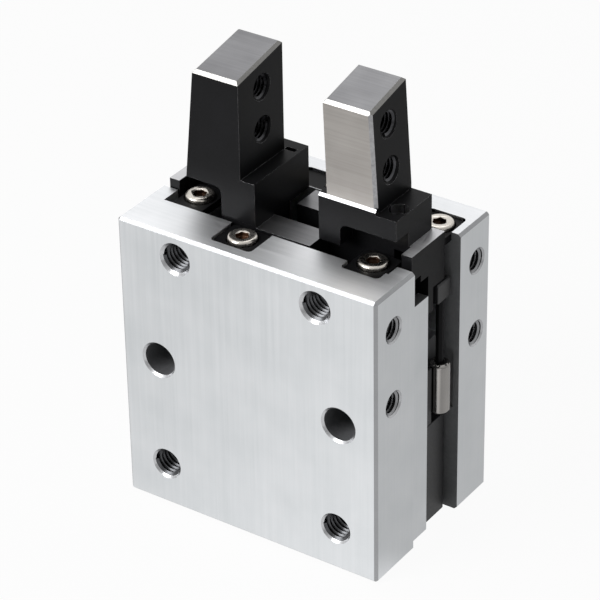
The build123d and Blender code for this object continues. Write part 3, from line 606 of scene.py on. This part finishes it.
@dataclass
class Jaw:
    """One jaw: a black steel lever whose grinding shows on its finger and ledges."""

    finishes: Finishes
    side: int
    thread_y: float
    thread_low: float
    inner: tuple[float, float]
    outer: tuple[float, float]
    foot: float
    tip: float
    thread_high: float = 90.6

    @property
    def node(self) -> str:
        """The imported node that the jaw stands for."""
        return "right_jaw" if self.side > 0 else "left_jaw"

    def _across(self, line: tuple[float, float], z: float) -> float:
        """Where one of the finger's side faces stands at a height."""
        share = (z - self.foot) / (self.tip - self.foot)
        return line[0] + (line[1] - line[0]) * share

    def holes(self) -> list[Hole]:
        """The finger's two tapped holes, right through it."""
        made = []
        for z in (self.thread_high, self.thread_low):
            start, end = self._across(self.inner, z), self._across(self.outer, z)
            made.append(Hole((start, self.thread_y, z), (self.side, 0, 0), M5_R,
                             abs(end - start), 0.35, M5_PITCH, True))
        return made

    def _finish_of(self, centre: Vector, normal: Vector) -> int:
        """Which finish a face has.

        0 black, 1 ground front in painted light, 2 ground top in painted shade, 3 bright edge, 4
        worn edge, 5 ground ledge.
        """
        sloped = normal.z > 0.15 and centre.z > 93.5
        # Sloped finger tops: the darker copy of the ground steel, painted shade.
        if sloped and normal.z > 0.9 and abs(normal.x) < 0.1:
            return 2
        if sloped and normal.z < 0.93:
            return 3
        # The right finger's front: the lighter copy of the ground steel, painted light.
        if self.side > 0 and normal.y < -0.98 and centre.z > self.foot and centre.y > -6.5:
            return 1
        wing_top = abs(centre.x) > 25.6 and normal.z > 0.98
        arm_top = abs(centre.x) < 12 and 63 < centre.z < 64.6 and normal.z > 0.98
        if wing_top:
            return 5
        if arm_top:
            return 2
        flat = max(abs(normal.x), abs(normal.y), abs(normal.z)) > 0.995
        bored = any(math.hypot(centre.y - self.thread_y, centre.z - z) < M5_R + 0.3
                    for z in (self.thread_high, self.thread_low))
        if not flat and not bored and centre.z > 63 and max(normal.z, -normal.y) > 0.2:
            return 4
        return 0

    def build(self) -> None:
        """Cuts the finger's threads, breaks the edges and dresses the jaw."""
        name = self.node
        lever = merged_copy(name, name + "_lever")
        holes = self.holes()
        cut(lever, join([hole.tool() for hole in holes], "drills"))
        break_edges(lever, 0.2, 2)
        f = self.finishes
        paint(lever, (f.black_oxide, f.ground_front_painted_lit, f.ground_top_painted_shade, f.steel_edge, f.worn_edge,
                      f.ledge), self._finish_of)
        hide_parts(name)
        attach(lever, name)
        threads = join([hole.thread("thread", f.thread_steel) for hole in holes],
                       name + "_threads")
        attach(threads, name)
        LOG.info("%s: %d faces", name, len(lever.data.polygons))


@dataclass
class PlateScrews:
    """The six socket screws of the cover plates."""

    finishes: Finishes
    places: tuple[tuple[float, float], ...] = (
        (-21.3, -4.8), (-4.9, -13.7), (21.2, -7.9), (24.0, 11.3), (0.0, 13.0), (-24.0, 11.3))
    head_low: float = 63.2
    head_height: float = 1.8
    head_radius: float = 2.95
    socket_across: float = 2.5
    socket_depth: float = 1.1

    def _one(self) -> bpy.types.Object:
        """One screw on the Z axis, its head's underside at the right height."""
        top = self.head_low + self.head_height
        deselect()
        bpy.ops.mesh.primitive_cylinder_add(
            vertices=64, radius=self.head_radius * MM, depth=self.head_height * MM,
            location=mm(0, 0, self.head_low + self.head_height / 2))
        head = bpy.context.active_object
        settle(head)
        bpy.ops.object.mode_set(mode="EDIT")
        bpy.ops.mesh.select_mode(type="EDGE")
        bpy.ops.mesh.select_all(action="DESELECT")
        shape = bmesh.from_edit_mesh(head.data)
        for edge in shape.edges:
            edge.select = all(v.co.z > (top - 0.01) * MM for v in edge.verts)
        shape.select_flush(True)
        bmesh.update_edit_mesh(head.data)
        bpy.ops.mesh.bevel(offset=0.62 * MM, segments=6, affect="EDGES")
        bpy.ops.object.mode_set(mode="OBJECT")
        deselect()
        bpy.ops.mesh.primitive_cylinder_add(
            vertices=6, radius=self.socket_across / 2 / math.cos(math.pi / 6) * MM,
            depth=2 * self.socket_depth * MM, location=mm(0, 0, top))
        hexagon = bpy.context.active_object
        settle(hexagon)
        cut(head, hexagon)
        deselect()
        bpy.ops.mesh.primitive_cone_add(
            vertices=48, radius1=0.9 * MM, radius2=(self.socket_across / 2 + 0.62) * MM,
            depth=0.75 * MM, location=mm(0, 0, top - 0.28 + 0.1))
        lead = bpy.context.active_object
        settle(lead)
        cut(head, lead)
        deselect()
        bpy.ops.mesh.primitive_cylinder_add(
            vertices=32, radius=1.2 * MM, depth=4.8 * MM,
            location=mm(0, 0, self.head_low - 2.39))
        shank = bpy.context.active_object
        settle(shank)
        return join([head, shank], "screw")

    def build(self) -> None:
        """Models one screw and copies it to the six plates."""
        first = self._one()
        break_edges(first, 0.06, 2, 40)
        f = self.finishes
        top = self.head_low + self.head_height
        paint(first, (f.stainless, f.socket),
              lambda c, n: 1 if c.xy.length < self.socket_across * 0.62 and c.z > self.head_low
              and c.z < top - 0.2 else 0)
        copies = []
        for i, (x, y) in enumerate(self.places):
            one = bpy.data.objects.new("screw", first.data.copy())
            bpy.context.scene.collection.objects.link(one)
            turn = Matrix.Rotation(math.radians(17 + 23 * i), 4, "Z")
            one.data.transform(Matrix.Translation(mm(x, y, 0)) @ turn)
            copies.append(one)
        bpy.data.objects.remove(first)
        screws = join(copies, "plate_screws_turned")
        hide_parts("plate_screws")
        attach(screws, "housing")
        LOG.info("plate screws: %d faces", len(screws.data.polygons))


@dataclass
class BrokenEdgePieces:
    """Plates, covers and heads that only need their edges broken and a finish."""

    finishes: Finishes

    def build(self) -> None:
        """Dresses each of these pieces."""
        f = self.finishes
        work: list[tuple[str, str, str, bpy.types.Material, float]] = []
        for place in ("front_left", "front_centre", "front_right", "back_right",
                      "back_centre", "back_left"):
            work.append(("plate_" + place, "housing", "black_plate", f.black_oxide, 0.14))
        for side in ("right", "left"):
            work.append(("side_cover_" + side, "housing", "cover", f.nylon, 0.18))
            work.append(("guide_plate_" + side, "housing", "cover", f.nylon, 0.18))
            work.append(("damper_barrel_" + side, "housing", "barrel", f.barrel, 0.35))
            work.append(("plunger_head_" + side, side + "_plunger", "cover", f.nylon, 0.15))
        for node, body, slot, finish, width in work:
            piece = merged_copy(node, node + "_dressed")
            break_edges(piece, width)
            piece.data.materials.append(finish)
            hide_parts(node)
            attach(piece, body)
            LOG.info("%s: %d faces", node, len(piece.data.polygons))


@dataclass
class InnerPieces:
    """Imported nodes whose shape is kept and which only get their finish."""

    finishes: Finishes

    def build(self) -> None:
        """Gives each kept node its finish."""
        f = self.finishes
        by_word = (("plunger_rod", f.black_oxide), ("bush", f.bronze),
                   ("seal", f.rubber), ("magnet", f.rubber),
                   ("guide_ring", f.nylon), ("piston_rod", f.chrome), ("piston_screw", f.pin_steel),
                   ("piston", f.turned), ("cylinder_cover", f.turned), ("pin", f.pin_steel),
                   ("sleeve", f.pin_steel), ("ring", f.pin_steel), ("rod", f.pin_steel))
        for name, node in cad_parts.items():
            if node.hide_render:
                continue
            finish = next((m for word, m in by_word if word in name), f.pin_steel)
            node.data.materials.clear()
            node.data.materials.append(finish)
            LOG.info("%s keeps its shape", name)


# Stage


@dataclass
class Studio:
    """The floor, the lights and the camera."""

    camera_place: tuple[float, float, float] = (284.5, -413.7, 355.3)
    camera_turn: tuple[float, float, float] = (58.2622, 0.858, 34.0988)
    focal_px: float = 2988.2
    picture_px: float = 600.0
    floor_bright_side: tuple[float, float, float] = (-0.57, -0.82, 0.0)
    floor_gleam: tuple[float, float] = (0.67, 1.10)
    sky_bright_side: tuple[float, float, float] = (-0.62, 0.35, 0.70)
    sky_gleam: tuple[float, float] = (0.35, 1.15)
    sky_fill: float = 0.15

    def _floor(self) -> None:
        """A pale floor that looks white to the camera and keeps a soft shadow; to glossy rays it
        glows with a strength that varies across it, which paints a reflection gradient on the
        metal.
        """
        deselect()
        bpy.ops.mesh.primitive_plane_add(size=6.0, location=(0, 0, -0.0002))
        floor = bpy.context.active_object
        floor.name = "studio_floor"
        settle(floor)
        paper = bpy.data.materials.new("white_paper")
        paper.use_nodes = True
        tree = paper.node_tree
        matte = tree.nodes["Principled BSDF"]
        matte.inputs["Base Color"].default_value = srgb("#d8d8d8")
        matte.inputs["Roughness"].default_value = 0.9
        path = add_node(tree, "ShaderNodeLightPath")
        place = add_node(tree, "ShaderNodeTexCoord")
        toward = add_node(tree, "ShaderNodeVectorMath", {"operation": "DOT_PRODUCT"},
                          {0: place.outputs["Object"]})
        toward.inputs[1].default_value = Vector(self.floor_bright_side)
        depth = add_node(tree, "ShaderNodeMapRange",
                         {"From Min": -0.012, "From Max": 0.002,
                          "To Min": self.floor_gleam[0], "To Max": self.floor_gleam[1]},
                         {"Value": toward.outputs["Value"]})
        spot = add_node(tree, "ShaderNodeSeparateXYZ", None, {0: place.outputs["Object"]})
        width = add_node(tree, "ShaderNodeMapRange",
                         {"From Min": -0.09, "From Max": 0.03, "To Min": 0.84, "To Max": 1.10},
                         {"Value": spot.outputs["X"]})
        gleam = add_node(tree, "ShaderNodeMath", {"operation": "MULTIPLY"},
                         {0: depth.outputs["Result"], 1: width.outputs["Result"]})
        strength = add_node(tree, "ShaderNodeMix", {"data_type": "FLOAT"},
                            {0: path.outputs["Is Camera Ray"], 2: gleam.outputs["Value"]})
        strength.inputs[3].default_value = 1.0
        glow = add_node(tree, "ShaderNodeEmission", {"Color": (1, 1, 1, 1)},
                        {"Strength": strength.outputs[0]})
        seen = add_node(tree, "ShaderNodeMath", {"operation": "MAXIMUM"},
                        {0: path.outputs["Is Camera Ray"], 1: path.outputs["Is Glossy Ray"]})
        share = add_node(tree, "ShaderNodeMath", {"operation": "MULTIPLY", 1: 0.95},
                         {0: seen.outputs["Value"]})
        blend = add_node(tree, "ShaderNodeMixShader", None,
                         {0: share.outputs["Value"], 1: matte.outputs["BSDF"],
                          2: glow.outputs["Emission"]})
        tree.links.new(blend.outputs["Shader"], tree.nodes["Material Output"].inputs["Surface"])
        floor.data.materials.append(paper)

    def _world(self) -> None:
        """White to the camera; a soft studio gradient to the surfaces."""
        world = bpy.data.worlds.new("studio")
        bpy.context.scene.world = world
        world.use_nodes = True
        tree = world.node_tree
        tree.nodes.clear()
        place = add_node(tree, "ShaderNodeTexCoord")
        toward = add_node(tree, "ShaderNodeVectorMath", {"operation": "DOT_PRODUCT"},
                          {0: place.outputs["Generated"]})
        toward.inputs[1].default_value = Vector(self.sky_bright_side)
        gleam = add_node(tree, "ShaderNodeMapRange",
                         {"From Min": -1.0, "From Max": 1.0,
                          "To Min": self.sky_gleam[0], "To Max": self.sky_gleam[1]},
                         {"Value": toward.outputs["Value"]})
        path = add_node(tree, "ShaderNodeLightPath")
        glossy = add_node(tree, "ShaderNodeMix", {"data_type": "FLOAT"},
                          {0: path.outputs["Is Glossy Ray"], 3: gleam.outputs["Result"]})
        glossy.inputs[2].default_value = self.sky_fill
        strength = add_node(tree, "ShaderNodeMix", {"data_type": "FLOAT"},
                            {0: path.outputs["Is Camera Ray"], 2: glossy.outputs[0]})
        strength.inputs[3].default_value = 1.0
        sky = add_node(tree, "ShaderNodeBackground", {"Color": (1, 1, 1, 1)},
                       {"Strength": strength.outputs[0]})
        out = add_node(tree, "ShaderNodeOutputWorld")
        tree.links.new(sky.outputs["Background"], out.inputs["Surface"])

    def _lamp(self, name: str, place: tuple[float, float, float], size: float,
              power: float) -> None:
        """A square soft lamp that faces the middle of the object."""
        light = bpy.data.lights.new(name, "AREA")
        light.size = size
        light.energy = power
        lamp = bpy.data.objects.new(name, light)
        bpy.context.scene.collection.objects.link(lamp)
        lamp.location = place
        lamp.rotation_euler = (Vector((0, 0, 0.05)) - lamp.location).to_track_quat(
            "-Z", "Y").to_euler()

    def build(self) -> None:
        """Sets the stage."""
        self._floor()
        self._world()
        self._lamp("key", (-0.35, -0.65, 0.50), 0.5, 6.5)
        self._lamp("top", (-0.15, 0.35, 0.85), 0.5, 1.0)
        camera = bpy.data.cameras.new("camera")
        camera.sensor_width = 36.0
        camera.lens = self.focal_px / self.picture_px * 36.0
        camera.clip_start = 0.01
        holder = bpy.data.objects.new("camera", camera)
        bpy.context.scene.collection.objects.link(holder)
        holder.location = mm(*self.camera_place)
        holder.rotation_euler = Euler([math.radians(a) for a in self.camera_turn], "XYZ")
        bpy.context.scene.camera = holder
        bpy.context.scene.view_settings.view_transform = "Standard"


def main() -> None:
    """Builds the gripper's pieces in order, then the stage."""
    logging.basicConfig(level=logging.INFO, format="%(message)s")
    finishes = Finishes()
    Housing(finishes).build()
    Jaw(finishes, 1, -0.8, 81.0, (9.85, 9.0), (21.0, 19.6), 75.0, 97.4).build()
    Jaw(finishes, -1, -1.6, 81.5, (-8.1, -8.1), (-20.95, -18.3), 71.0, 97.7).build()
    PlateScrews(finishes).build()
    BrokenEdgePieces(finishes).build()
    InnerPieces(finishes).build()
    Studio().build()
    deselect()


if __name__ == "__main__":
    main()
